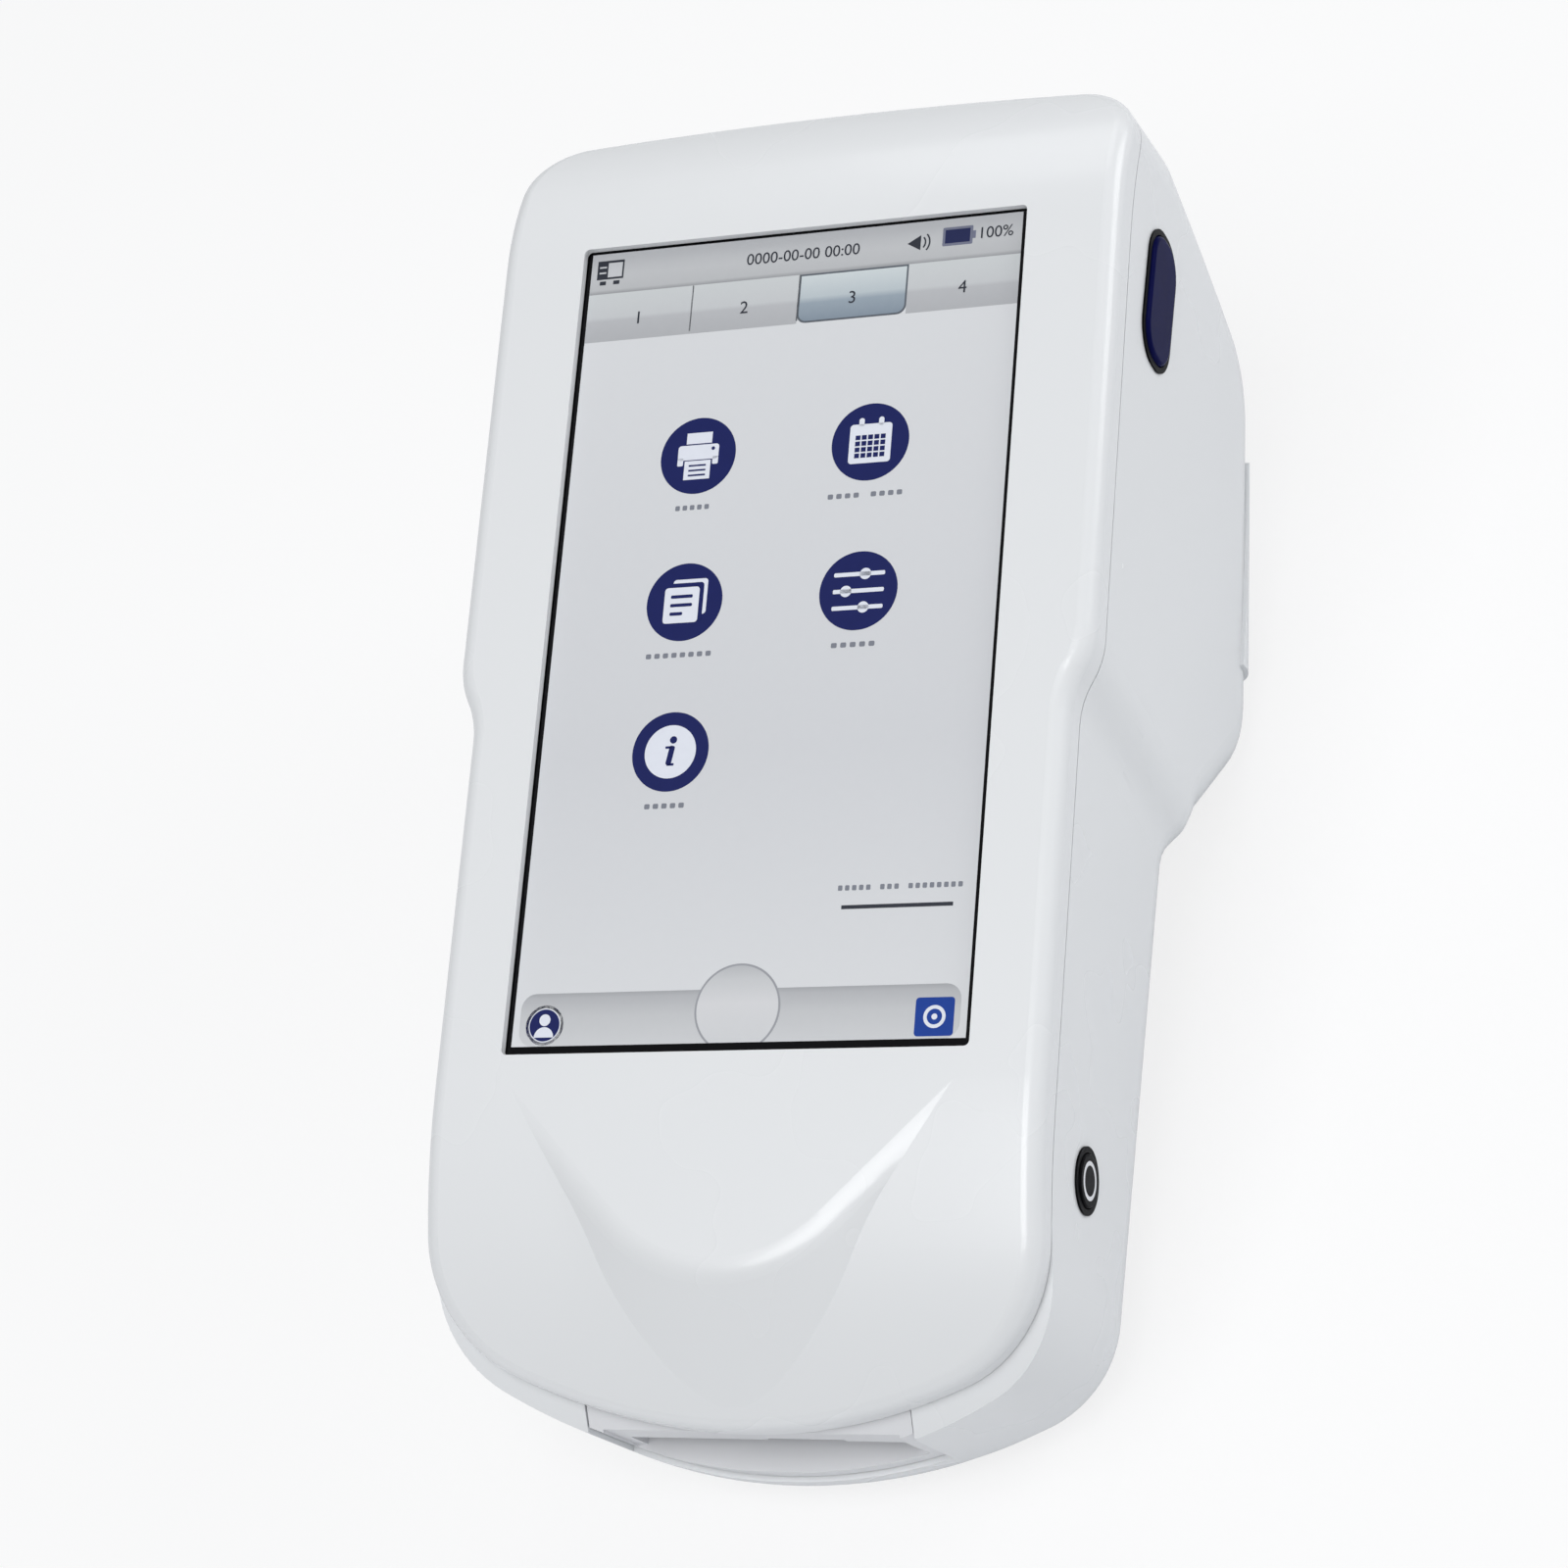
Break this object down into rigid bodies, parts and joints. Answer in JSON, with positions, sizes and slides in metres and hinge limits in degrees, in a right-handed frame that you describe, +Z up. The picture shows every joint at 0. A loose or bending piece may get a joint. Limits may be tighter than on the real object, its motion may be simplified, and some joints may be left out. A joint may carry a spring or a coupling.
{
  "type": "handheld electrolyte analyzer",
  "caption": "Handheld electrolyte analyzer with a tilted touch screen, cartridge port under a raised tongue, side latch, power button and printer door.",
  "frame": {"origin": "centre of the part's outline on the desk that its feet stand on", "axes": "+Z up from the desk, +Y from the cartridge end to the head, +X to the right of the screen"},
  "size_m": [0.0984, 0.1875, 0.0919],
  "materials": {
    "white_plastic": "glossy",
    "black_plastic": "satin",
    "blue_plastic": "glossy",
    "grey_plastic": "matte",
    "screen_glass": "glossy",
    "display": "satin",
    "foam": "matte",
    "rubber": "matte",
    "steel": "satin",
    "silver_trim": "polished",
    "gold": "polished",
    "aluminium": "satin",
    "board_green": "satin",
    "paper": "matte",
    "card": "matte",
    "ceramic": "matte",
    "battery_wrap": "satin"
  },
  "bodies": {
    "housing": {"front_cover": "white_plastic", "rear_shell": "white_plastic", "battery_cover": "white_plastic", "port_frame": "white_plastic", "display_gasket": "foam", "touch_glass": "screen_glass", "display_module": "display", "display_frame": "aluminium", "frame_screws": "steel", "main_board": "board_green", "board_screws": "steel", "processor_shield": "steel", "board_connectors": "black_plastic", "case_screws": "steel", "rubber_feet": "rubber", "battery_pack": "battery_wrap", "cartridge_bed": "grey_plastic", "heater_plate": "aluminium", "contact_block": "black_plastic", "contact_pins": "gold", "drive_bracket": "steel", "drive_motor": "steel", "guide_rod": "steel", "speaker": "black_plastic", "charging_socket": "steel", "power_bezel": "black_plastic", "power_switch": "black_plastic", "switch_board": "board_green", "power_spring": "steel", "latch_bezel": "black_plastic", "latch_spring": "steel", "door_pin": "steel", "printer_frame": "steel", "printer_screws": "steel", "print_head": "ceramic", "idler_pin": "steel", "printer_motor": "steel"},
    "power_key": {"power_button": "black_plastic", "power_trim": "silver_trim"},
    "door_latch": {"latch_button": "blue_plastic", "latch_bar": "grey_plastic"},
    "printer_door": {"paper_door": "white_plastic"},
    "pusher_screw": {"lead_screw": "steel"},
    "pusher": {"pusher_carriage": "grey_plastic"},
    "platen": {"platen_shaft": "steel", "platen_roller": "rubber", "platen_gear": "grey_plastic"},
    "idler": {"idler_gear": "grey_plastic"},
    "pinion": {"motor_pinion": "grey_plastic"},
    "roll": {"paper_roll": "paper", "paper_spool": "card"}
  },
  "joints": [
    {"name": "power_button_press", "type": "slide", "parent": "housing", "child": "power_key", "axis": [-1, 0, 0], "range_m": [0, 0.0008], "stiffness_N_per_m": 800, "springref_m": -0.001, "deforming": ["power_spring"]},
    {"name": "door_latch_press", "type": "slide", "parent": "housing", "child": "door_latch", "axis": [-1, 0, 0], "range_m": [0, 0.0022], "stiffness_N_per_m": 600, "springref_m": -0.002, "deforming": ["latch_spring"]},
    {"name": "printer_door_hinge", "type": "hinge", "parent": "housing", "child": "printer_door", "pos_m": [0, 0.07864, 0.02541], "axis": [-1, 0, 0], "range_deg": [0, 80]},
    {"name": "pusher_screw_turn", "type": "hinge", "parent": "housing", "child": "pusher_screw", "pos_m": [0.01, -0.03706, 0.04152], "axis": [0, -0.9596, -0.2812], "range_deg": [0, 1080]},
    {"name": "pusher_slide", "type": "slide", "parent": "housing", "child": "pusher", "axis": [0, 0.9596, 0.2812], "range_m": [0, 0.006]},
    {"name": "platen_turn", "type": "hinge", "parent": "housing", "child": "platen", "pos_m": [0, 0.08503, 0.06584], "axis": [1, 0, 0], "continuous": true},
    {"name": "idler_turn", "type": "hinge", "parent": "housing", "child": "idler", "pos_m": [0, 0.07129, 0.07186], "axis": [1, 0, 0], "continuous": true},
    {"name": "pinion_turn", "type": "hinge", "parent": "housing", "child": "pinion", "pos_m": [0, 0.06265, 0.06215], "axis": [1, 0, 0], "continuous": true},
    {"name": "paper_roll_turn", "type": "hinge", "parent": "housing", "child": "roll", "pos_m": [0, 0.06411, 0.05189], "axis": [1, 0, 0], "continuous": true}
  ],
  "couplings": [
    {"joint": "pusher_screw_turn", "follows": "pusher_slide", "rad_per_m": 3141.6},
    {"joint": "idler_turn", "follows": "platen_turn", "ratio": -0.5},
    {"joint": "pinion_turn", "follows": "platen_turn", "ratio": 1.6667}
  ]
}
